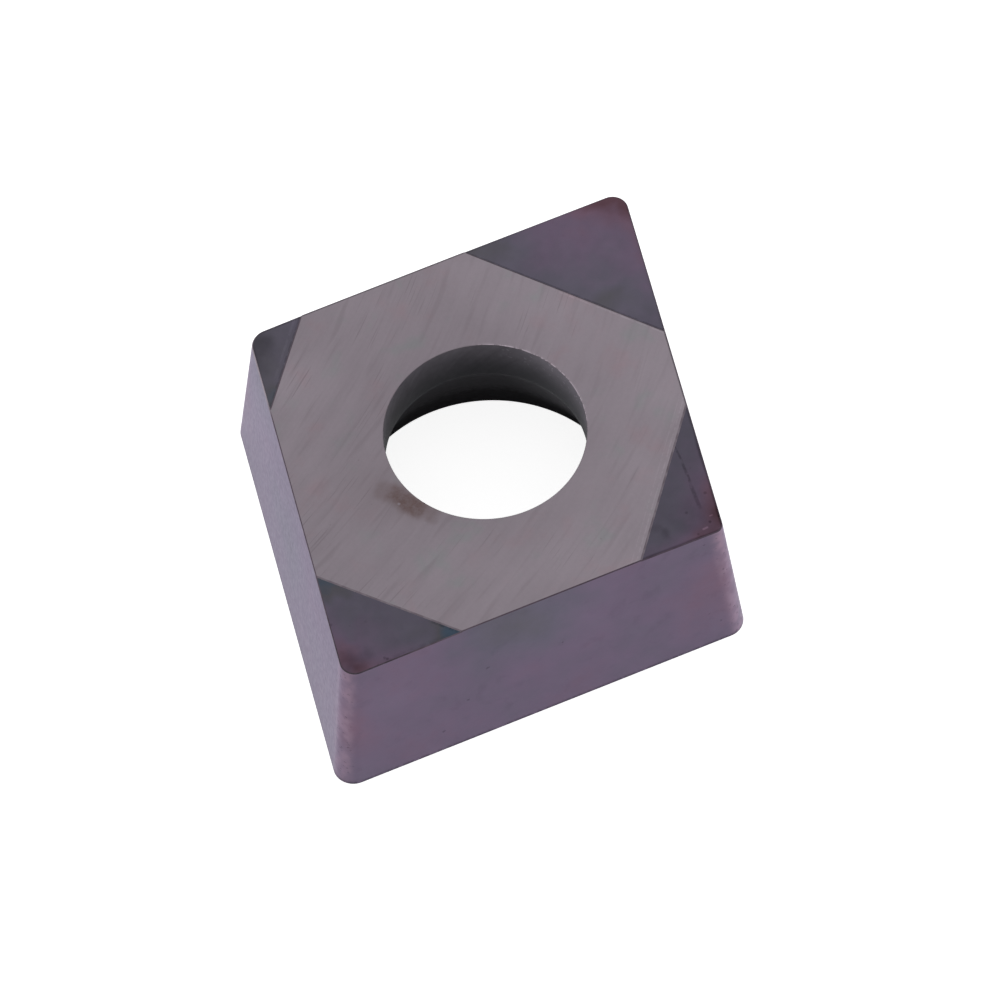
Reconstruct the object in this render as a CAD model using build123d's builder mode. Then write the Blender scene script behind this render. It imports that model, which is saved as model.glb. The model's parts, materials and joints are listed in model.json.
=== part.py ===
"""Rhombic screw-clamped cutting insert of sintered carbide, in millimetres and degrees.

The insert lies on its rake face, the larger one, with the ground seating face up. The origin is the
centre of the bounding box's base, and X runs along the diagonal that joins the two acute corners.
Right and left are the acute corners at +X and -X, back and front the obtuse ones at +Y and -Y.
"""
import os
from math import cos, radians, sin, tan

from build123d import *

# Outline. The inscribed circle touches the four cutting edges on the rake face.
inscribed_circle = 9.525
acute_corner_angle = 80
nose_radius = 0.45
thickness = 3.97
clearance_angle = 5.5
edge_hone = 0.04

# Screw hole, with the seat for the screw's head sunk in the rake face.
bore_diameter = 4.4
bore_rim_chamfer = 0.02
head_seat_diameter = 6.4
head_seat_angle = 40
head_seat_lip_radius = 0.1

# Chip groove round the rake face, between the land at the cutting edges and the island at the hole.
land_width = 0.2
groove_width = 0.75
groove_depth = 0.12
groove_slope = 15
groove_corner_radius_least = 0.1
island_slope = 40
island_corner_radius = 0.8

# Corner facets, a little below the ground seating face. Each setback runs along an edge of that
# face, from its sharp corner to the end of the facet's inner boundary.
right_facet_setback_back = 3.82
right_facet_setback_front = 3.78
front_facet_setback_right = 3.26
front_facet_setback_left = 1.95
left_facet_setback_front = 2.78
left_facet_setback_back = 2.64
back_facet_setback_left = 2.02
back_facet_setback_right = 1.27
facet_step = 0.02
facet_fall = 0.03
cutter_overrun = 1.0

seat_circle = inscribed_circle - 2 * thickness * tan(radians(clearance_angle))
land_circle = inscribed_circle - 2 * land_width
groove_corner_radius = max(nose_radius - land_width, groove_corner_radius_least)
groove_floor_circle = land_circle - 2 * groove_depth / tan(radians(groove_slope))
island_circle = land_circle - 2 * groove_width
island_foot_circle = island_circle + 2 * groove_depth / tan(radians(island_slope))


def sharp_corners(circle):
    """Corners of the rhombus round an inscribed circle: right, back, left and front."""
    half_angle = radians(acute_corner_angle / 2)
    long_reach = circle / 2 / sin(half_angle)
    short_reach = circle / 2 / cos(half_angle)
    return (long_reach, 0), (0, short_reach), (-long_reach, 0), (0, -short_reach)


def rounded_rhombus(plane, circle, corner_radius):
    """Sketch of the rhombus round an inscribed circle, with rounded corners."""
    with BuildSketch(plane) as outline:
        Polygon(*sharp_corners(circle), align=None)
        fillet(outline.vertices(), radius=corner_radius)
    return outline.sketch


def facet_plane(corner, neighbour_one, neighbour_two, setback_one, setback_two):
    """Plane of a corner facet, its X axis along the inner boundary and its Y axis to the corner."""
    end_one = corner + (neighbour_one - corner).normalized() * setback_one
    end_two = corner + (neighbour_two - corner).normalized() * setback_two
    boundary = end_two - end_one
    to_tip = corner - Vector(0, 0, facet_fall) - end_one
    middle = (end_one + end_two) / 2 - Vector(0, 0, facet_step)
    return Plane(origin=middle, x_dir=boundary, z_dir=boundary.cross(to_tip))


right, back, left, front = [Vector(x, y, thickness) for x, y in sharp_corners(seat_circle)]
facet_planes = [
    facet_plane(right, back, front, right_facet_setback_back, right_facet_setback_front),
    facet_plane(front, right, left, front_facet_setback_right, front_facet_setback_left),
    facet_plane(left, front, back, left_facet_setback_front, left_facet_setback_back),
    facet_plane(back, left, right, back_facet_setback_left, back_facet_setback_right),
]

with BuildPart() as insert:
    # Body. The four flanks lean in from the rake face to the seating face.
    with BuildSketch():
        Polygon(*sharp_corners(inscribed_circle), align=None)
    extrude(amount=thickness, taper=clearance_angle)
    fillet(insert.edges().filter_by(Plane.XY, reverse=True), radius=nose_radius)

    # Chip groove, and the island that stands in it.
    loft(
        [
            rounded_rhombus(Plane.XY, land_circle, groove_corner_radius),
            rounded_rhombus(Plane.XY.offset(groove_depth), groove_floor_circle, groove_corner_radius),
        ],
        ruled=True,
        mode=Mode.SUBTRACT,
    )
    loft(
        [
            rounded_rhombus(Plane.XY, island_circle, island_corner_radius),
            rounded_rhombus(Plane.XY.offset(groove_depth), island_foot_circle, island_corner_radius),
        ],
        ruled=True,
    )

    # Hone along the cutting edges, the outer rim of the lowest and widest face.
    land = insert.faces().group_by(Axis.Z)[0].sort_by(lambda face: face.bounding_box().size.X)[-1]
    fillet(land.outer_wire().edges(), radius=edge_hone)

    # Screw hole. The head's seat opens in the rake face.
    with Locations(Plane.XY.reverse()):
        CounterSinkHole(
            radius=bore_diameter / 2,
            counter_sink_radius=head_seat_diameter / 2,
            counter_sink_angle=head_seat_angle,
        )
    hole_rims = insert.edges().filter_by(GeomType.CIRCLE).filter_by(lambda edge: edge.is_closed)
    fillet(hole_rims.group_by(Axis.Z)[0], radius=head_seat_lip_radius)
    chamfer(hole_rims.group_by(Axis.Z)[-1], length=bore_rim_chamfer)

    # Corner facets.
    for plane in facet_planes:
        with BuildSketch(plane):
            Rectangle(inscribed_circle, inscribed_circle, align=(Align.CENTER, Align.MIN))
        extrude(amount=cutter_overrun, mode=Mode.SUBTRACT)

os.makedirs("parts", exist_ok=True)
insert.part.label = "insert"
export_step(insert.part, "parts/insert.step")
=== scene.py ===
"""Rhombic screw-clamped cutting insert of coated carbide, as a Blender add-on, in metres.

The insert lies on its rake face, with the ground seating face up. X runs along the diagonal of the two
acute corners. Right and left are the acute corners at +X and -X, back and front the obtuse ones at +Y
and -Y. Patterns in the finishes are given in millimetres.
"""
import json
from math import cos, hypot, pi, radians, sin, tan

import bmesh
import bpy
from bpy.props import FloatProperty, FloatVectorProperty, PointerProperty
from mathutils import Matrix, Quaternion, Vector


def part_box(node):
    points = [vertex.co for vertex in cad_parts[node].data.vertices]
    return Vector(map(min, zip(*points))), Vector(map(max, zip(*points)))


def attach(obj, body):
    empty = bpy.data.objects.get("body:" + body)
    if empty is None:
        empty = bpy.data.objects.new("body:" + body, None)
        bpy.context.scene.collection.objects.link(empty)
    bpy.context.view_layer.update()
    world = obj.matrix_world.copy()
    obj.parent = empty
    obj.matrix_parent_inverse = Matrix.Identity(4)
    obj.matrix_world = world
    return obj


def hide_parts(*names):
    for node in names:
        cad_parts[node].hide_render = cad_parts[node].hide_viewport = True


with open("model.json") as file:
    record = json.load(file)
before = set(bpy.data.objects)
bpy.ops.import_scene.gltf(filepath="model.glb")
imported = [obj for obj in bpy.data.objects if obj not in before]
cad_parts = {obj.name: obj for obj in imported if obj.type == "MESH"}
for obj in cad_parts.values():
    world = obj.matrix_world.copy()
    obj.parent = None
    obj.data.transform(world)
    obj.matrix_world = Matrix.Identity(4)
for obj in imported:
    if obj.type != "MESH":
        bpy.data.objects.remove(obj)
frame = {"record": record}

bl_info = {
    "name": "Cutting Insert",
    "version": (1, 0, 0),
    "blender": (4, 5, 0),
    "location": "View3D > Sidebar > Cutting Insert",
    "description": "Makes a rhombic cutting insert of coated carbide and a plain studio round it",
    "category": "Add Mesh",
}

MM = 0.001
ACUTE_DEGREES = 80
SCREW_BORE = next(mount for mount in frame["record"]["mounts"] if mount["name"] == "screw_bore")["dims"]
BORE_RADIUS = SCREW_BORE["r_mm"]
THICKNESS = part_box("insert")[1].z / MM

# Edges of a ring: each rounded corner is turned in steps, and each side between corners is cut.
CORNER_STEPS = 14
SIDE_CUTS = 96
RING_EDGES = 4 * (CORNER_STEPS + SIDE_CUTS + 1)

# A point nearer than this to a cutting plane lies on it.
TINY = 1e-4 * MM

# Places of the finishes in the body's list of materials.
SEAT, RIM, STEP, FACET, FLANK, RAKE, CONE, BORE = range(8)


def length(name, description, millimetres):
    """A length that can be changed, given in millimetres and kept in metres."""
    return FloatProperty(
        name=name, description=description, default=millimetres * MM, min=0, precision=5, unit="LENGTH"
    )


def lengths(name, description, *millimetres):
    """Several lengths that can be changed."""
    return FloatVectorProperty(
        name=name,
        description=description,
        default=[value * MM for value in millimetres],
        min=0,
        precision=5,
        size=len(millimetres),
        unit="LENGTH",
    )


def facet(name, *millimetres):
    """A corner facet: its setbacks along the two edges of the seating face, and its step's width."""
    description = "Setbacks of the facet's inner boundary along the edges, and the width of its step"
    return lengths(name, description, *millimetres)


def angle(name, description, degrees):
    """An angle that can be changed, given in degrees."""
    return FloatProperty(name=name, description=description, default=radians(degrees), subtype="ANGLE")


def display(*levels):
    """Linear colour of a display colour, given in levels from 0 to 255."""
    shares = [level / 255 for level in levels]
    return tuple(
        share / 12.92 if share <= 0.04045 else ((share + 0.055) / 1.055) ** 2.4 for share in shares
    )


def colour(name, description, *levels):
    """A colour that can be changed, given in display levels."""
    return FloatVectorProperty(
        name=name, description=description, default=display(*levels), min=0, max=1, size=3, subtype="COLOR"
    )


class InsertSizes(bpy.types.PropertyGroup):
    """Sizes of the cutting insert"""

    inscribed_circle: length("Inscribed circle", "Circle that touches the four cutting edges", 9.525)
    acute_angle: angle("Acute angle", "Angle of the two acute corners", ACUTE_DEGREES)
    nose_radius: length("Nose radius", "Radius of the four corners of the rake face", 0.45)
    seat_noses: lengths(
        "Seat noses",
        "Radii of the seating face's right, back, left and front corner",
        *(0.35, 0.42, 0.33, 0.22),
    )
    thickness: length("Thickness", "From the rake face to the seating face", THICKNESS)
    clearance_angle: angle("Clearance angle", "Lean of the flanks towards the seating face", 5.5)
    edge_hone: length("Edge hone", "Width of the rounding along the cutting edges", 0.051)
    seat_edge: length("Seat edge", "Width of the rounding along the rim of the seating face", 0.022)

    bore_diameter: length("Bore", "Diameter of the screw hole's straight wall", 2 * BORE_RADIUS)
    bore_length: length("Bore length", "Length of the straight wall", SCREW_BORE["length_mm"])
    bore_rim: length("Bore rim", "Width of the rounding at the hole's rim in the seating face", 0.02)
    head_seat: length("Head seat", "Diameter of the head's conical seat at the rake face", 6.4)
    head_seat_lip: length("Head seat lip", "Width of the rounding at the seat's mouth", 0.07)

    land_width: length("Land", "Width of the flat strip along the cutting edges", 0.2)
    groove_width: length("Groove width", "Width of the chip groove", 0.75)
    groove_depth: length("Groove depth", "Depth of the chip groove below the rake face", 0.12)
    groove_slope: angle("Groove slope", "Slope of the groove's wall at the land", 15)
    groove_corner: length("Groove corner", "Radius of the groove's outer corners", 0.25)
    island_slope: angle("Island slope", "Slope of the groove's wall at the island", 40)
    island_corner: length("Island corner", "Radius of the island's corners", 0.8)
    groove_rounding: length("Groove rounding", "Width of the rounding along the groove's edges", 0.04)

    right_facet: facet("Right facet", 3.82, 3.78, 0.03)
    back_facet: facet("Back facet", 2.02, 1.27, 0.03)
    left_facet: facet("Left facet", 2.64, 2.78, 0.03)
    front_facet: facet("Front facet", 1.98, 3.30, 0.04)
    facet_step: length("Facet step", "Drop at the facets' inner boundaries", 0.02)
    facet_fall: length("Facet fall", "Further drop from the inner boundary to the corner", 0.03)


class InsertFinish(bpy.types.PropertyGroup):
    """Colours of the cutting insert"""

    ground: colour("Ground carbide", "Bare carbide of the ground seating face", 125, 117, 124)
    ground_pink: colour("Ground, pink", "Warm clouds in the ground face", 127, 114, 121)
    ground_green: colour("Ground, green", "Cool clouds in the ground face", 120, 118, 122)
    scratch: colour("Scratch", "Dark grinding scratches", 106, 98, 104)
    stain: colour("Stain", "Brown stain at the screw hole's rim", 92, 77, 77)
    teal: colour("Coating, teal", "The thinnest film of the coating", 62, 74, 88)
    olive: colour("Coating, olive", "A thin film of the coating", 78, 76, 82)
    slate: colour("Coating, slate", "The coating's usual film on the facets", 84, 80, 92)
    violet: colour("Coating, violet", "The coating's usual film on the flanks", 93, 81, 98)
    plum: colour("Coating, plum", "A thick film of the coating", 98, 78, 93)
    rust: colour("Coating, rust", "The thickest film of the coating, at the corners", 86, 63, 72)
    worn: colour("Coating, worn", "Worn coating at the noses", 120, 101, 115)
    # The rim's dark colour also stands for painted shade on the narrow edge; the steps take it as painted
    # shade.
    rim: colour("Rim", "Worn coating along the rim of the seating face", 70, 60, 70)
    bore: colour("Bore", "Wall of the screw hole near the seating face", 102, 98, 105)
    # Painted shade: the hole's wall turns to this colour further down.
    bore_deep_shade: colour("Bore, deep", "Wall of the screw hole next to the head's seat", 57, 57, 61)
    cone: colour("Cone", "Conical seat of the screw's head, next to the bore", 95, 94, 98)
    # Painted shade: the head's seat turns to this colour towards its mouth.
    cone_mouth_shade: colour("Cone, mouth", "Conical seat of the screw's head, at its mouth", 69, 68, 71)
    floor: colour("Floor", "The studio's floor", 218, 218, 218)


class Value:
    """A socket in a material's node tree. Arithmetic on it adds Math nodes."""

    def __init__(self, tree, socket=None):
        self.tree = tree
        self.socket = socket

    def node(self, kind, settings, inputs, output=0):
        """Adds a node, sets it up, then sets or links its inputs, and returns one of its outputs."""
        node = self.tree.nodes.new(kind)
        for name, setting in settings.items():
            if name == "stops":
                set_stops(node.color_ramp, setting)
            else:
                setattr(node, name, setting)
        for name, value in inputs.items():
            if isinstance(value, Value):
                self.tree.links.new(value.socket, node.inputs[name])
            elif node.inputs[name].type == "RGBA":
                node.inputs[name].default_value = (*value, 1)
            else:
                node.inputs[name].default_value = value
        return Value(self.tree, node.outputs[output]) if node.outputs else None

    def other(self, output):
        """Another output of the same node."""
        return Value(self.tree, self.socket.node.outputs[output])

    def maths(self, operation, *values):
        return self.node("ShaderNodeMath", {"operation": operation}, dict(enumerate(values)))

    def __add__(self, other):
        return self.maths("ADD", self, other)

    def __sub__(self, other):
        return self.maths("SUBTRACT", self, other)

    def __rsub__(self, other):
        return self.maths("SUBTRACT", other, self)

    def __mul__(self, other):
        return self.maths("MULTIPLY", self, other)

    def __abs__(self):
        return self.maths("ABSOLUTE", self)

    __radd__ = __add__
    __rmul__ = __mul__


def set_stops(ramp, stops):
    """Gives a colour ramp its stops, pairs of a place and a colour in rising order."""
    for place, _ in stops[1:-1]:
        ramp.elements.new(place)
    for element, (place, shade) in zip(ramp.elements, stops):
        element.position = place
        element.color = (*shade, 1)


def smooth(value, start, end):
    """0 at the start and 1 at the end of a range, with a smooth rise between."""
    return value.node(
        "ShaderNodeMapRange",
        {"interpolation_type": "SMOOTHSTEP"},
        {"Value": value, "From Min": start, "From Max": end},
    )


# Sockets that the Mix node uses for colours: its factor, its two colours and its result.
MIX_FACTOR, MIX_UNDER, MIX_OVER, MIX_RESULT = 0, 6, 7, 2


def blend(kind, factor, under, over):
    """Two colours blended by a factor."""
    root = next(value for value in (factor, under, over) if isinstance(value, Value))
    settings = {"data_type": "RGBA", "blend_type": kind}
    inputs = {MIX_FACTOR: factor, MIX_UNDER: under, MIX_OVER: over}
    return root.node("ShaderNodeMix", settings, inputs, MIX_RESULT)


def noise(place, scale, detail=2.0):
    """Noise round 0.5, its scale in waves a millimetre."""
    return place.node("ShaderNodeTexNoise", {}, {"Vector": place, "Scale": scale, "Detail": detail})


def at(root, x, y, z):
    """A place from three values."""
    return root.node("ShaderNodeCombineXYZ", {}, {"X": x, "Y": y, "Z": z})


def coordinates(place):
    """A place's three values."""
    x = place.node("ShaderNodeSeparateXYZ", {}, {"Vector": place}, "X")
    return x, x.other("Y"), x.other("Z")


def distance(place, centre):
    """Distance from a centre, in millimetres."""
    return place.node("ShaderNodeVectorMath", {"operation": "DISTANCE"}, {0: place, 1: centre}, "Value")


def spots(place, patches):
    """Sum of round patches, each with its centre, radius and strength."""
    total = 0
    for centre, radius, strength in patches:
        total = smooth(distance(place, centre), radius, 0.0) * strength + total
    return total


def dots(place, cells, radius, share):
    """Small round dots in a share of the cells of an uneven grid, with so many cells a millimetre."""
    near = place.node("ShaderNodeTexVoronoi", {}, {"Vector": place, "Scale": cells})
    chance = near.node("ShaderNodeSeparateColor", {}, {"Color": near.other("Color")})
    picked = chance.maths("LESS_THAN", chance, share)
    return smooth(near, 1.4 * radius * cells, 0.6 * radius * cells) * picked


def uneven(place, scale, reach):
    """The place moved about by noise, so that what is drawn there gets an uneven outline."""
    shift = place.node("ShaderNodeTexNoise", {}, {"Vector": place, "Scale": scale}, "Color")
    centred = place.node("ShaderNodeVectorMath", {"operation": "SUBTRACT"}, {0: shift, 1: (0.5, 0.5, 0.5)})
    moved = place.node("ShaderNodeVectorMath", {"operation": "SCALE"}, {0: centred, "Scale": 2 * reach})
    return place.node("ShaderNodeVectorMath", {}, {0: place, 1: moved})


def new_material(name):
    """A material with an empty node tree, and the surface's place in millimetres."""
    material = bpy.data.materials.new(name)
    material.use_nodes = True
    tree = material.node_tree
    tree.nodes.clear()
    place = Value(tree).node("ShaderNodeTexCoord", {}, {}, "Object")
    scaled = {0: place, "Scale": 1 / MM}
    return material, place.node("ShaderNodeVectorMath", {"operation": "SCALE"}, scaled)


def surface(place, **inputs):
    """Ends a material with the shader whose inputs are given."""
    names = {name.replace("_", " "): value for name, value in inputs.items()}
    shader = place.node("ShaderNodeBsdfPrincipled", {}, names)
    place.node("ShaderNodeOutputMaterial", {}, {"Surface": shader})


# Depths of the small hills in the finishes.
GRAIN_HILLS = 0.002
GROUND_HILLS = 0.0015
BORE_HILLS = 0.003


def bump(place, height, depth=GRAIN_HILLS):
    """Normal of a surface with small hills of a height from 0 to 1, their depth in millimetres."""
    return place.node("ShaderNodeBump", {}, {"Height": height, "Distance": depth * MM}, "Normal")


def lines(x, y, strokes):
    """Sum of thin straight lines, each with its two ends, half width and strength. The ends fade."""
    total = 0
    for (start_x, start_y), (end_x, end_y), width, strength in strokes:
        reach = hypot(end_x - start_x, end_y - start_y)
        run, rise = (end_x - start_x) / reach, (end_y - start_y) / reach
        off = abs((x - start_x) * rise - (y - start_y) * run)
        along = (x - start_x) * run + (y - start_y) * rise
        ends = smooth(along, 0.0, 0.2 * reach) * smooth(along, reach, 0.8 * reach)
        total = smooth(off, width, 0.3 * width) * ends * strength + total
    return total


# How far the seating face reaches from the hole's axis towards the sides of the rhombus.
SEAT_REACH = 4.38


def side_reach(x, y):
    """How far a place lies from the hole's axis towards the nearest side of the rhombus."""
    half = radians(ACUTE_DEGREES / 2)
    return abs(x) * sin(half) + abs(y) * cos(half)


# Scratches follow shallow curves along X, whose middle lies lowest.
LAY_CURVE = 0.025

# Streaks of the brown stain beside the screw hole, its faint edge, and two clean dots in it.
STAIN = [
    ((-2.30, 1.60), (-2.20, 0.55), 0.34, 0.34),
    ((-2.24, 1.30), (-2.38, 0.20), 0.36, 0.34),
    ((-2.38, 0.95), (-2.34, -0.15), 0.32, 0.36),
]
STAIN_EDGE = [
    ((-2.30, 0.55, THICKNESS), 0.75, 0.20),
    ((-2.40, 1.40, THICKNESS), 1.30, 0.12),
]
CLEAN_DOTS = [
    ((-2.43, 0.87, THICKNESS), 0.05, 1.0),
    ((-2.62, 0.15, THICKNESS), 0.04, 0.6),
]

# Painted highlights on the ground face's edges next to the front and the right facet, broken up like worn
# edges.
WORN_EDGE_HIGHLIGHTS = [
    ((-3.51, -4.80), (4.48, -3.11), 0.020, 0.12),
    ((-3.53, -4.70), (4.46, -3.01), 0.015, 0.08),
    ((3.85, 0.50), (3.90, -3.00), 0.025, 0.16),
]

# Where the ground face looks paler, next to the back facet, and darker, next to the front one.
GROUND_PATCHES = [
    ((-0.60, 4.20, THICKNESS), 1.20, 0.10),
    ((1.60, -3.60, THICKNESS), 1.20, -0.08),
]

# Clear single scratches across the ground face.
SCRATCHES = [
    ((2.10, -2.56), (3.50, -2.26), 0.022, 0.5),
    ((2.20, -2.46), (3.30, -2.24), 0.016, 0.4),
    ((-3.45, 1.05), (-2.30, 0.99), 0.022, 0.5),
    ((-4.00, 1.80), (-2.60, 1.55), 0.030, 0.4),
    ((1.30, 2.75), (2.90, 2.90), 0.018, 0.4),
    ((-1.80, -3.30), (0.10, -3.45), 0.020, 0.3),
]


def ground_finish(finish):
    """Bare carbide with the fine curved scratches of the grinding wheel, clouds, pits and a stain."""
    material, place = new_material("ground_carbide")
    x, y, z = coordinates(place)
    lay = y - x * x * LAY_CURVE

    def stripes(slope, fineness, start, detail=1.0):
        """Noise drawn out along the scratches."""
        return noise(at(x, x * slope, lay * fineness, start), 1.0, detail)

    fine = stripes(0.6, 14, 0, 3.0)
    band = stripes(0.4, 3.5, 5, 2.0)
    streaks = smooth(stripes(0.6, 6, 21), 0.54, 0.76)
    marks = smooth(stripes(0.6, 24, 33), 0.64, 0.72)
    marks = marks * smooth(noise(place, 0.7, 1.0), 0.45, 0.60) + lines(x, y, SCRATCHES)
    cloud = noise(place, 0.6)
    tint = noise(place, 1.4, 3.0)
    grit = noise(place, 13.0)
    pits = dots(place, 2.2, 0.02, 0.3)
    # Painted highlights along the steps' edges, broken up by the grit.
    worn = lines(x, y, WORN_EDGE_HIGHLIGHTS) * smooth(grit, 0.35, 0.55)
    # Painted highlight: a bright line on the screw hole's rim at the right, broken into specks by the grit.
    hole_edge = smooth(distance(place, (0.0, 0.0, THICKNESS)), BORE_RADIUS + 0.06, BORE_RADIUS + 0.03)
    highlight_specks = smooth(z, THICKNESS, THICKNESS - 0.004) * 1.2 + 0.1
    highlight_specks = highlight_specks * hole_edge * smooth(x - y * 0.3, 1.4, 1.9) * smooth(grit, 0.38, 0.55)
    # Dark line just inside the rim on the right half: a coated edge strip, darkened as painted shade.
    rim_line = smooth(side_reach(x, y), SEAT_REACH - 0.05, SEAT_REACH - 0.03) * smooth(x, 0.0, 0.5)

    bare = blend("MIX", smooth(tint, 0.54, 0.80), finish.ground, finish.ground_pink)
    bare = blend("MIX", smooth(tint, 0.44, 0.24), bare, finish.ground_green)
    level = (fine - 0.5) * (y * 0.02 + 0.19) + (band - 0.5) * 0.15 + (cloud - 0.5) * 0.18
    # The (x - y) term is a painted light gradient: the ground face paler towards +X and -Y.
    level = level + (grit - 0.5) * 0.08 + (x - y) * 0.012 + 1.0
    level = level + worn + highlight_specks + spots(place, GROUND_PATCHES) - rim_line * 0.45
    bare = blend("MULTIPLY", 1.0, bare, level)
    dark = (streaks * 0.26 + marks * 0.4) * (y * 0.1 - x * 0.07 + 1.1) + pits * 0.4
    bare = blend("MIX", dark.maths("MINIMUM", dark, 0.8), bare, finish.scratch)

    stain_x, stain_y, _ = coordinates(uneven(place, 3.0, 0.12))
    stain = lines(stain_x, stain_y, STAIN) + spots(place, STAIN_EDGE)
    stain = stain.maths("MINIMUM", stain, 0.95) * ((grit - 0.5) * 0.8 + 0.95)
    stain = stain - spots(place, CLEAN_DOTS)
    bare = blend("MIX", stain.maths("MAXIMUM", stain, 0.0), bare, finish.stain)
    hills = fine * 0.6 + band * 0.3 - marks * 0.5 - pits
    surface(
        place,
        Base_Color=bare,
        Metallic=1.0,
        Roughness=(fine - 0.5) * 0.25 + 0.42,
        Normal=bump(place, hills, GROUND_HILLS),
    )
    return material


def coating(finish, film, gain=1.0):
    """Colour of the thin coating, which follows the film's thickness from 0 to 1, times a gain."""
    shades = (finish.teal, finish.olive, finish.slate, finish.violet, finish.plum, finish.rust)
    thicknesses = (0.0, 0.2, 0.4, 0.6, 0.78, 1.0)
    stops = [(film_at, [gain * level for level in shade]) for film_at, shade in zip(thicknesses, shades)]
    return film.node("ShaderNodeValToRGB", {"stops": stops}, {"Fac": film})


def coated_surface(place, colours, grain, cloud, specks, **tint):
    """Ends a material with the coating's satin shader, in which the specks are pits."""
    surface(
        place,
        Base_Color=colours,
        Metallic=1.0,
        Roughness=(grain - 0.5) * 0.2 + 0.38,
        Normal=bump(place, grain * 0.5 + cloud * 0.5 - specks),
        **tint,
    )


# Film on the facets: thick at the corners, thin where a facet's inner boundary meets the rim.
FACET_FILM = [
    ((6.6, 0.0, THICKNESS), 1.3, 0.50),
    ((5.3, 0.5, THICKNESS), 1.5, 0.24),
    ((5.3, -1.1, THICKNESS), 1.1, 0.20),
    ((4.1, 2.2, THICKNESS), 0.9, -0.20),
    ((4.2, -1.0, THICKNESS), 0.7, -0.18),
    ((0.3, -5.4, THICKNESS), 1.2, 0.34),
    ((0.9, -4.9, THICKNESS), 0.7, 0.12),
    ((-6.4, 0.0, THICKNESS), 0.6, 0.26),
    ((-5.9, -0.1, THICKNESS), 1.0, 0.14),
    ((-4.95, 1.4, THICKNESS), 0.6, -0.34),
    ((-4.85, -1.5, THICKNESS), 0.8, -0.44),
    ((-0.2, 5.3, THICKNESS), 1.2, -0.12),
    ((-1.2, 4.6, THICKNESS), 0.7, -0.26),
]

# Where the facets look darker than their film.
FACET_SHADE = [
    ((6.45, 0.0, THICKNESS), 0.8, 0.13),
    ((4.2, 0.9, THICKNESS), 0.9, 0.06),
    ((4.0, -2.1, THICKNESS), 0.8, 0.12),
    ((0.1, -5.35, THICKNESS), 0.9, 0.16),
    ((-0.63, -4.38, THICKNESS), 0.3, 0.12),
    ((-0.68, -4.69, THICKNESS), 0.25, 0.20),
    ((-6.45, 0.0, THICKNESS), 0.6, 0.30),
    ((-0.15, 5.45, THICKNESS), 0.7, 0.34),
    ((-0.75, 5.15, THICKNESS), 0.5, 0.16),
]

# Painted shade and highlights of the steps along the facets' inner boundaries, a dark edge along the left
# facet's front rim, a long scratch across the front facet, and two light chips at its corner.
STEP_SHADING_AND_FACET_MARKS = [
    ((3.91, 4.20), (3.97, -4.20), 0.040, 0.25),
    ((-3.35, 4.12), (2.77, 5.29), 0.035, 0.20),
    ((-0.90, 4.69), (1.60, 5.17), 0.040, -0.12),
    ((-4.76, -0.90), (-4.72, -2.40), 0.050, 0.25),
    ((-6.30, -0.42), (-4.80, -1.68), 0.120, 0.12),
    ((1.45, -3.80), (1.12, -4.20), 0.035, 0.24),
    ((1.14, -4.16), (0.70, -4.60), 0.045, 0.26),
    ((0.74, -4.54), (0.20, -5.08), 0.060, 0.20),
    ((-0.23, -5.30), (-0.09, -5.40), 0.035, -0.45),
    ((0.15, -5.29), (0.23, -5.35), 0.025, -0.40),
]


def facet_finish(finish):
    """Thin coating on the corner facets, thicker and specked towards the corners."""
    material, place = new_material("coated_facet")
    x, y, _ = coordinates(place)
    grain = noise(place, 9.0, 3.0)
    cloud = noise(place, 1.7)
    reach = side_reach(x, y)
    corner = smooth(abs(x), 4.8, 6.4) + smooth(y, -4.0, -5.4)
    film = (cloud - 0.5) * 0.18 + (noise(place, 4.0) - 0.5) * 0.12 + 0.40
    film = film + smooth(reach, SEAT_REACH - 0.43, SEAT_REACH + 0.02) * corner * 0.25
    film = film + spots(uneven(place, 1.3, 0.5), FACET_FILM)
    specks = dots(place, 1.8, 0.035, 0.25) + dots(place, 5.0, 0.035, 0.3) * corner
    # Painted shade and highlights of the steps, with the facets' real marks.
    edges = lines(x + (cloud - 0.5) * 0.04, y, STEP_SHADING_AND_FACET_MARKS) * smooth(grain, 0.30, 0.55)
    rim_line = smooth(reach + (cloud - 0.5) * 0.08, SEAT_REACH - 0.08, SEAT_REACH - 0.01)
    rim_line = rim_line * smooth(x - y * 0.5, -4.5, -1.5) * (1.0 - smooth(x, 3.5, 4.5) * 0.7)
    level = (grain - 0.5) * 0.14 + (noise(place, 2.5, 3.0) - 0.5) * 0.20 + 0.94
    level = level - smooth(y, -3.0, -3.3) * 0.20 - smooth(y, 3.0, 3.3) * 0.06 - smooth(x, -3.0, -3.3) * 0.16
    level = level - specks * 0.25 - edges - rim_line * 0.35 - spots(uneven(place, 2.0, 0.4), FACET_SHADE)
    colours = blend("MULTIPLY", 1.0, coating(finish, film), level)
    coated_surface(place, colours, grain, cloud, specks)
    return material


# Film on the flanks: thinner in patches below the seating face, thicker at the corners.
FLANK_FILM = [
    ((-3.7, -2.7, 3.6), 2.2, -0.3),
    ((-3.4, 3.2, 2.2), 2.0, -0.2),
    ((3.2, -3.4, 2.8), 2.4, -0.25),
    ((3.9, 2.6, 2.4), 2.2, -0.25),
    ((7.0, 0.0, 2.0), 1.2, 0.2),
    ((-7.0, 0.0, 2.0), 1.2, 0.12),
    ((0.0, -6.0, 2.0), 2.0, 0.2),
    ((0.0, 6.0, 2.0), 1.5, 0.15),
    ((-0.8, 5.0, 3.9), 1.6, -0.25),
]

# Where the flanks look paler than their film; the last patch, at the top of the back-left flank, is painted
# light.
PALE_FLANK_AND_LIGHT = [
    ((-2.9, -3.2, 3.0), 2.2, 0.08),
    ((-6.2, -0.7, 2.6), 1.5, 0.06),
    ((-0.8, 5.0, 3.9), 2.2, 0.10),
]


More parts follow.
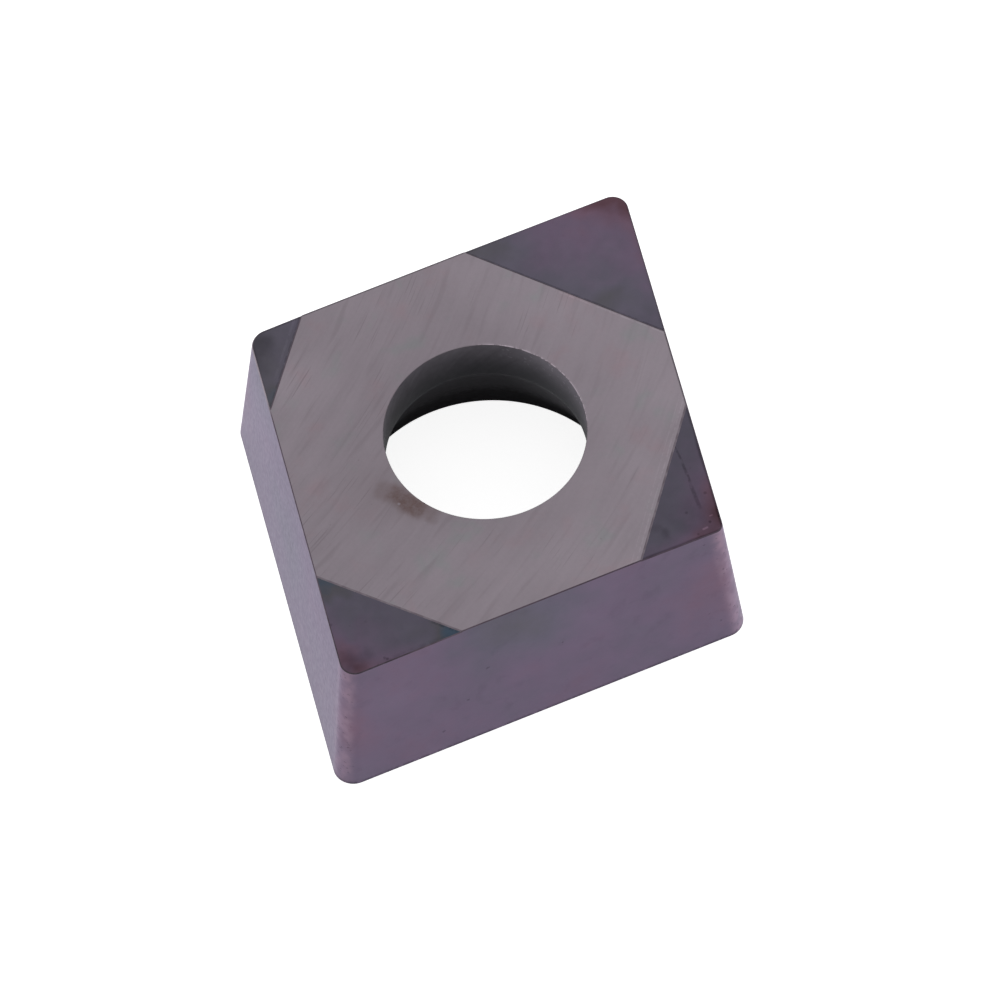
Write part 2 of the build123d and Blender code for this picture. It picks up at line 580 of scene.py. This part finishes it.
def flank_finish(finish, name):
    """Thin coating on the flanks and the rake face, with specks, and worn at the noses and edges."""
    material, place = new_material(name)
    x, y, z = coordinates(place)
    grain = noise(place, 9.0, 3.0)
    cloud = noise(place, 1.7)
    film = (noise(place, 0.8, 3.0) - 0.5) * 0.35 + (noise(place, 4.0) - 0.5) * 0.12 + 0.58
    film = film + spots(uneven(place, 0.9, 0.35), FLANK_FILM)
    sharp = smooth(abs(x) + z * 0.15, 6.93, 7.08) * smooth(y, -0.25, 0.0)
    blunt = smooth(abs(y) + z * 0.126, 5.80, 5.99) * smooth(x, -0.35, -0.05)
    nose = sharp + blunt * 1.5
    rough = uneven(place, 8.0, 0.06)
    specks = dots(rough, 1.8, 0.035, 0.35) + dots(rough, 9.0, 0.025, 0.5) * (nose + 0.05)
    worn = nose * (smooth(noise(place, 3.5, 3.0), 0.35, 0.65) * 0.5 + 0.3)
    shade = blend("MIX", worn, coating(finish, film, 0.97), finish.worn)
    smudges = smooth(noise(place, 2.5, 5.0), 0.55, 0.72)
    level = (grain - 0.5) * 0.16 + (cloud - 0.5) * 0.18 - smudges * 0.08 - specks * 0.3 + 1.01
    # The last patch in the list is painted light on the top of the back-left flank.
    level = level + spots(place, PALE_FLANK_AND_LIGHT) + blunt * (0.1 - smooth(x, -0.1, 0.25) * 0.25)
    # Dark band broken by the grain along the cutting edge next to the floor: a chipped edge, darkened by
    # painted contact shade.
    level = level - smooth(z, 0.15, 0.05) * smooth(grain, 0.30, 0.55) * 0.6
    colours = blend("MULTIPLY", 1.0, shade, level)
    coated_surface(place, colours, grain, cloud, specks, Specular_Tint=(0.83, 0.80, 0.92))
    return material


def edge_surface(place, shade, highlight_and_tone=0.0):
    """Ends a material with a narrow edge's mottled shader, lifted by a painted highlight and tone where
    given.
    """
    grain = noise(place, 6.0, 3.0)
    surface(
        place,
        Base_Color=blend("MULTIPLY", 1.0, shade, (grain - 0.5) * 0.9 + highlight_and_tone + 1.05),
        Metallic=1.0,
        Roughness=(grain - 0.5) * 0.3 + 0.45,
        Normal=bump(place, grain),
    )


def rim_finish(finish):
    """Worn, dark coating along the seating face's rim, with painted highlights at the back and the left,
    darker at the left corner.
    """
    material, place = new_material("worn_rim_and_painted_light")
    x, y, _ = coordinates(place)
    # Painted highlight on the rim at the back, and paler towards the ground's colour at the left.
    back_rim_highlight = smooth(y, 4.2, 4.7) * smooth(x, 0.2, -0.3)
    paler = smooth(x - y * 0.5, -1.5, -4.5) * 0.12 + back_rim_highlight * 0.8 + 0.04
    highlight_and_tone = back_rim_highlight * 0.4 - smooth(x, -5.0, -6.0) * 0.4
    edge_surface(place, blend("MIX", paler, finish.rim, finish.ground), highlight_and_tone)
    return material


def step_finish(finish):
    """Narrow step between the ground face and a facet, dark as painted shade, and pale at the front and the
    left facet as a painted highlight.
    """
    material, place = new_material("facet_step")
    x, y, _ = coordinates(place)
    # Painted highlight where the step catches the light at the front and the left facet; elsewhere the
    # rim's dark colour is painted shade.
    paler = smooth(y, -3.0, -3.3) + smooth(x, -4.0, -4.4)
    highlight_specks = smooth(noise(place, 5.0), 0.40, 0.58)
    edge_surface(place, blend("MIX", paler * (0.5 - highlight_specks * 0.25) + 0.2, finish.rim, finish.ground))
    return material


def painted_hole_light(x, y):
    """Painted light on the screw hole: paler at the right front, where more light falls."""
    return smooth(y, 0.9, -0.9) * smooth(x, -0.5, 0.8) - smooth(y, -1.1, -2.0) * 0.3


def bore_finish(finish):
    """Dark wall of the screw hole, darker further down as painted shade, paler at the right front as
    painted light, with slanting scratches and chips at its mouth.
    """
    material, place = new_material("bore_wall")
    x, y, z = coordinates(place)
    round_wall = x.maths("ARCTAN2", y, x) * BORE_RADIUS
    slant = noise(at(x, round_wall * 5 + z * 4, z * 0.6 - round_wall * 0.4, 0), 1.0, 3.0)
    cloud = noise(place, 1.5)
    # Painted shade: the wall darkens further down the hole.
    depth = smooth(z + (cloud - 0.5) * 0.3, THICKNESS - 1.25, THICKNESS + 0.25)
    shade = blend("MIX", depth, finish.bore_deep_shade, finish.bore)
    chips = dots(uneven(place, 8.0, 0.08), 10.0, 0.028, 0.4)
    chips = chips * smooth(z, 3.2, 3.8) * smooth(x - y * 0.6, 1.5, 2.2)
    level = (slant - 0.5) * 0.5 + (noise(place, 7.0, 3.0) - 0.5) * 0.35 + (cloud - 0.5) * 0.2
    # Painted light: the hole's right front is paler.
    level = level + painted_hole_light(x, y) + chips + 1.0
    surface(
        place,
        Base_Color=blend("MULTIPLY", 1.0, shade, level),
        Metallic=0.0,
        Roughness=0.6,
        Specular_IOR_Level=0.05,
        Normal=bump(place, slant, BORE_HILLS),
    )
    return material


def cone_finish(finish):
    """Dull dark conical seat of the screw's head, with faint rings of the press tool, darker towards its
    mouth as painted shade and paler at the right front as painted light.
    """
    material, place = new_material("head_seat_cone")
    x, y, z = coordinates(place)
    rings = noise(at(z, 0, 0, z * 9), 1.0, 3.0)
    grain = noise(place, 7.0, 3.0)
    # Painted shade: darker towards the mouth.
    shade = blend("MIX", smooth(z + (grain - 0.5) * 0.6, 0.9, 1.8), finish.cone_mouth_shade, finish.cone)
    # Painted light on the cone's upper part, at the hole's right front.
    level = (rings - 0.5) * 0.3 + (grain - 0.5) * 0.3 + painted_hole_light(x, y) * smooth(z, 0.6, 1.2) * 1.3 + 1.0
    surface(
        place,
        Base_Color=blend("MULTIPLY", 1.0, shade, level),
        Metallic=0.0,
        Roughness=0.8,
        Specular_IOR_Level=0.0,
        Normal=bump(place, grain),
    )
    return material


def edges_since(bm, before):
    """Edges that weren't there before."""
    return [edge for edge in bm.edges if edge not in before]


def rhombus_corners(acute_angle, circle):
    """Right, back, left and front corner of the rhombus round an inscribed circle."""
    right = Vector((circle / 2 / sin(acute_angle / 2), 0, 0))
    back = Vector((0, circle / 2 / cos(acute_angle / 2), 0))
    return right, back, -right, -back


def rhombus_ring(bm, acute_angle, circle, corner_radii):
    """Ring of edges along the rhombus round an inscribed circle, with rounded corners."""
    before = set(bm.edges)
    unit_corners = rhombus_corners(acute_angle, 2)
    sweeps = (pi - acute_angle, acute_angle) * 2
    heading = acute_angle / 2 - pi / 2
    ends = []
    for unit_corner, sweep, corner_radius in zip(unit_corners, sweeps, corner_radii):
        centre = (circle / 2 - corner_radius) * unit_corner
        start = bm.verts.new(centre + corner_radius * Vector((cos(heading), sin(heading), 0)))
        arc = bmesh.ops.spin(bm, geom=[start], cent=centre, axis=(0, 0, 1), angle=sweep, steps=CORNER_STEPS)
        ends.append((start, arc["geom_last"][0]))
        heading += sweep
    sides = [bm.edges.new((ends[corner - 1][1], ends[corner][0])) for corner in range(4)]
    bmesh.ops.subdivide_edges(bm, edges=sides, cuts=SIDE_CUTS)
    return edges_since(bm, before)


def circle_ring(bm, diameter):
    """Ring of edges round the screw hole's axis."""
    before = set(bm.edges)
    bmesh.ops.create_circle(bm, segments=RING_EDGES, radius=diameter / 2)
    return edges_since(bm, before)


def raise_ring(bm, ring, rise):
    """Moves a ring of edges up."""
    bmesh.ops.translate(bm, verts=list({vert for edge in ring for vert in edge.verts}), vec=(0, 0, rise))


def seat_faces(bm):
    """What is left of the seating face and its rim."""
    return [face for face in bm.faces if face.material_index in (SEAT, RIM)]


def cut_facet(bm, sizes, corner, neighbours, widths, circle):
    """Lowers one corner of the seating face, beyond a line between two points on its rim."""
    one, two = [corner + (end - corner).normalized() * setback for end, setback in zip(neighbours, widths)]
    outward = (two - one).cross(Vector((0, 0, 1))).normalized()
    if outward.dot(corner - one) < 0:
        outward.negate()
    reach = outward.dot(corner - one)
    ramp = widths[2]
    for start in (0, ramp):
        faces = seat_faces(bm)
        parts = faces + list({part for face in faces for part in [*face.edges, *face.verts]})
        point = one + outward * start
        cut = bmesh.ops.bisect_plane(bm, geom=parts, dist=TINY, plane_co=point, plane_no=outward)
        for part in cut["geom_cut"]:
            if isinstance(part, bmesh.types.BMEdge):
                part.smooth = False
    faces = seat_faces(bm)
    for face in faces:
        beyond = outward.dot(face.calc_center_median() - one)
        if beyond > 0 and face.material_index == SEAT:
            face.material_index = STEP if beyond < ramp else FACET
    for vert in {vert for face in faces for vert in face.verts}:
        beyond = outward.dot(vert.co - one)
        if beyond > TINY:
            drop = sizes.facet_step * min(beyond / ramp, 1) + sizes.facet_fall * beyond / reach
            vert.co.z -= drop
            vert.co.xy *= 1 + drop * tan(sizes.clearance_angle) / (circle / 2)


def round_edges(bm, edges, width, segments, finish):
    """Rounds edges by a width on each side, and gives the rounding its own finish where one is named."""
    rounding = bmesh.ops.bevel(
        bm,
        geom=edges,
        offset=width,
        offset_type="OFFSET",
        segments=segments,
        profile=0.5,
        affect="EDGES",
        material=-1,
        clamp_overlap=False,
    )
    if finish is not None:
        for face in rounding["faces"]:
            face.material_index = finish


def body_mesh(sizes):
    """Mesh of the insert: rings round the screw hole's axis, joined by bands into one closed skin."""
    bm = bmesh.new()
    edge_circle = sizes.inscribed_circle
    seat_circle = edge_circle - 2 * sizes.thickness * tan(sizes.clearance_angle)
    land_circle = edge_circle - 2 * sizes.land_width
    floor_circle = land_circle - 2 * sizes.groove_depth / tan(sizes.groove_slope)
    island_circle = land_circle - 2 * sizes.groove_width
    foot_circle = island_circle + 2 * sizes.groove_depth / tan(sizes.island_slope)
    cone_top = sizes.thickness - sizes.bore_length

    def rhombus(circle, *corner_radii):
        return rhombus_ring(bm, sizes.acute_angle, circle, corner_radii * (4 // len(corner_radii)))

    seat_rim = rhombus(seat_circle, *sizes.seat_noses)
    cutting_edge = rhombus(edge_circle, sizes.nose_radius)
    land_rim = rhombus(land_circle, sizes.groove_corner)
    groove_floor = rhombus(floor_circle, sizes.groove_corner)
    island_foot = rhombus(foot_circle, sizes.island_corner)
    island_rim = rhombus(island_circle, sizes.island_corner)
    mouth = circle_ring(bm, sizes.head_seat)
    cone_end = circle_ring(bm, sizes.bore_diameter)
    bore_rim = circle_ring(bm, sizes.bore_diameter)

    # Each ring with its height, and the finish of the band from it to the next ring.
    sleeve = [
        (seat_rim, sizes.thickness, FLANK),
        (cutting_edge, 0, RAKE),
        (land_rim, 0, RAKE),
        (groove_floor, sizes.groove_depth, RAKE),
        (island_foot, sizes.groove_depth, RAKE),
        (island_rim, 0, RAKE),
        (mouth, 0, CONE),
        (cone_end, cone_top, BORE),
        (bore_rim, sizes.thickness, SEAT),
    ]
    # The rings are bridged one above the other, and then take their own heights.
    for level, (ring, _, _) in enumerate(sleeve):
        raise_ring(bm, ring, level * sizes.thickness)
    for (ring, _, finish), (next_ring, _, _) in zip(sleeve, sleeve[1:] + sleeve[:1]):
        for face in bmesh.ops.bridge_loops(bm, edges=ring + next_ring)["faces"]:
            face.material_index = finish
    for level, (ring, height, _) in enumerate(sleeve):
        raise_ring(bm, ring, height - level * sizes.thickness)

    # Each rounded ring with its rounding's width, number of segments, and finish where it has its own.
    for ring, width, segments, finish in (
        (seat_rim, sizes.seat_edge, 3, RIM),
        (cutting_edge, sizes.edge_hone, 4, None),
        (land_rim, sizes.groove_rounding, 3, None),
        (groove_floor, sizes.groove_rounding, 3, None),
        (island_foot, sizes.groove_rounding, 3, None),
        (island_rim, sizes.groove_rounding, 3, None),
        (cone_end, sizes.groove_rounding, 3, BORE),
        (mouth, sizes.head_seat_lip, 5, None),
        (bore_rim, sizes.bore_rim, 2, SEAT),
    ):
        round_edges(bm, ring, width, segments, finish)

    top = Vector((0, 0, sizes.thickness))
    right, back, left, front = [corner + top for corner in rhombus_corners(sizes.acute_angle, seat_circle)]
    for corner, neighbours, widths in (
        (right, (back, front), sizes.right_facet),
        (back, (left, right), sizes.back_facet),
        (left, (back, front), sizes.left_facet),
        (front, (left, right), sizes.front_facet),
    ):
        cut_facet(bm, sizes, corner, neighbours, widths, seat_circle)

    bmesh.ops.recalc_face_normals(bm, faces=bm.faces)
    for face in bm.faces:
        face.smooth = True
    # The rim is shaded apart from its neighbours, so that the ground face looks flat right up to it.
    for edge in bm.edges:
        finishes = {face.material_index for face in edge.link_faces}
        if RIM in finishes and len(finishes) > 1:
            edge.smooth = False
    if not all(edge.is_manifold for edge in bm.edges):
        raise RuntimeError("the insert's skin isn't closed")
    mesh = bpy.data.meshes.new("carbide_body")
    bm.to_mesh(mesh)
    bm.free()
    return mesh


class CUTTING_INSERT_OT_body(bpy.types.Operator):
    """Make the carbide body with its ground seating face, corner facets, flanks, rake face and hole"""

    bl_idname = "cutting_insert.body"
    bl_label = "Carbide Body"

    def execute(self, context):
        sizes, finish = context.scene.insert_sizes, context.scene.insert_finish
        mesh = body_mesh(sizes)
        for material in (
            ground_finish(finish),
            rim_finish(finish),
            step_finish(finish),
            facet_finish(finish),
            flank_finish(finish, "coated_flank"),
            flank_finish(finish, "coated_rake"),
            cone_finish(finish),
            bore_finish(finish),
        ):
            mesh.materials.append(material)
        body = bpy.data.objects.new("carbide_body", mesh)
        context.collection.objects.link(body)
        normals = body.modifiers.new("Weighted normals", "WEIGHTED_NORMAL")
        normals.keep_sharp = True
        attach(body, "root")
        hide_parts("insert")
        return {"FINISHED"}


# The camera looks from the left front, well above the insert, with a long lens.
CAMERA_TARGET = Vector((-1.291, -0.764, 3.97)) * MM
CAMERA_DISTANCE = 281.87 * MM
CAMERA_AZIMUTH = radians(-60.93)
CAMERA_ELEVATION = radians(58.83)
CAMERA_ROLL = radians(-3.35)
CAMERA_LENS = 480.65

# The studio's light and floor. Lengths are in metres, and the lamp's power in watts.
WORLD_STRENGTH = 0.75
FLOOR_GLOW = 0.86
FLOOR_RADIUS = 1.5
FLOOR_SIDES = 64
KEY_DIRECTION = Vector((0.452, 0.251, 0.856))
KEY_DISTANCE = 0.5
KEY_SIZE = 0.3
KEY_POWER = 0.1


def seen(root):
    """1 for what the camera sees, straight or in gloss or through glass, and 0 for other light."""
    path = root.node("ShaderNodeLightPath", {}, {}, "Is Camera Ray")
    either = path.maths("MAXIMUM", path, path.other("Is Glossy Ray"))
    return path.maths("MAXIMUM", either, path.other("Is Transmission Ray"))


def make_floor(finish):
    """Pale floor that glows for the camera, so that it is white with a faint shadow."""
    material, place = new_material("studio_floor")
    surface(
        place,
        Base_Color=finish.floor,
        Roughness=1.0,
        Specular_IOR_Level=0.0,
        Emission_Color=blend("MIX", seen(place), (0, 0, 0), (1, 1, 1)),
        Emission_Strength=FLOOR_GLOW,
    )
    bm = bmesh.new()
    bmesh.ops.create_circle(bm, cap_ends=True, segments=FLOOR_SIDES, radius=FLOOR_RADIUS)
    mesh = bpy.data.meshes.new("studio_floor")
    bm.to_mesh(mesh)
    bm.free()
    mesh.materials.append(material)
    return bpy.data.objects.new("studio_floor", mesh)


def make_camera():
    """Camera that looks at its target from the azimuth and elevation, rolled a little."""
    camera = bpy.data.objects.new("camera", bpy.data.cameras.new("camera"))
    camera.data.lens = CAMERA_LENS
    level = cos(CAMERA_ELEVATION)
    back = Vector((sin(CAMERA_AZIMUTH) * level, -cos(CAMERA_AZIMUTH) * level, sin(CAMERA_ELEVATION)))
    camera.location = CAMERA_TARGET + CAMERA_DISTANCE * back
    camera.rotation_mode = "QUATERNION"
    camera.rotation_quaternion = (-back).to_track_quat("-Z", "Y") @ Quaternion((0, 0, 1), CAMERA_ROLL)
    return camera


def make_key_lamp():
    """Large square lamp where the seating face mirrors the camera."""
    lamp = bpy.data.lights.new("key_lamp", "AREA")
    lamp.size = KEY_SIZE
    lamp.energy = KEY_POWER
    key = bpy.data.objects.new("key_lamp", lamp)
    key.location = KEY_DISTANCE * KEY_DIRECTION
    key.rotation_euler = KEY_DIRECTION.to_track_quat("Z", "Y").to_euler()
    return key


def light_world(scene):
    """Even pale light all round, and white where the camera sees it."""
    scene.world = bpy.data.worlds.new("studio")
    scene.world.use_nodes = True
    tree = scene.world.node_tree
    tree.nodes.clear()
    root = Value(tree)
    strength = seen(root) * (1 - WORLD_STRENGTH) + WORLD_STRENGTH
    light = root.node("ShaderNodeBackground", {}, {"Color": (1, 1, 1), "Strength": strength})
    root.node("ShaderNodeOutputWorld", {}, {"Surface": light})


class CUTTING_INSERT_OT_stage(bpy.types.Operator):
    """Make the pale floor, the soft light and the camera"""

    bl_idname = "cutting_insert.stage"
    bl_label = "Studio"

    def execute(self, context):
        scene = context.scene
        floor = make_floor(scene.insert_finish)
        camera = make_camera()
        for item in (floor, camera, make_key_lamp()):
            context.collection.objects.link(item)
        scene.camera = camera
        scene.view_settings.view_transform = "Standard"
        light_world(scene)
        return {"FINISHED"}


class CUTTING_INSERT_PT_panel(bpy.types.Panel):
    """Pieces, sizes and colours of the cutting insert"""

    bl_label = "Cutting Insert"
    bl_space_type = "VIEW_3D"
    bl_region_type = "UI"
    bl_category = "Cutting Insert"

    def draw(self, context):
        for operator in (CUTTING_INSERT_OT_body, CUTTING_INSERT_OT_stage):
            self.layout.operator(operator.bl_idname)
        for group in (context.scene.insert_sizes, context.scene.insert_finish):
            box = self.layout.box()
            for name in group.__annotations__:
                box.prop(group, name)


CLASSES = (
    InsertSizes,
    InsertFinish,
    CUTTING_INSERT_OT_body,
    CUTTING_INSERT_OT_stage,
    CUTTING_INSERT_PT_panel,
)


def register():
    for each in CLASSES:
        bpy.utils.register_class(each)
    bpy.types.Scene.insert_sizes = PointerProperty(type=InsertSizes)
    bpy.types.Scene.insert_finish = PointerProperty(type=InsertFinish)


def unregister():
    del bpy.types.Scene.insert_finish
    del bpy.types.Scene.insert_sizes
    for each in reversed(CLASSES):
        bpy.utils.unregister_class(each)


def main():
    """Makes the insert and the studio."""
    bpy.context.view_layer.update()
    register()
    bpy.ops.cutting_insert.body()
    bpy.ops.cutting_insert.stage()


if __name__ == "__main__":
    main()
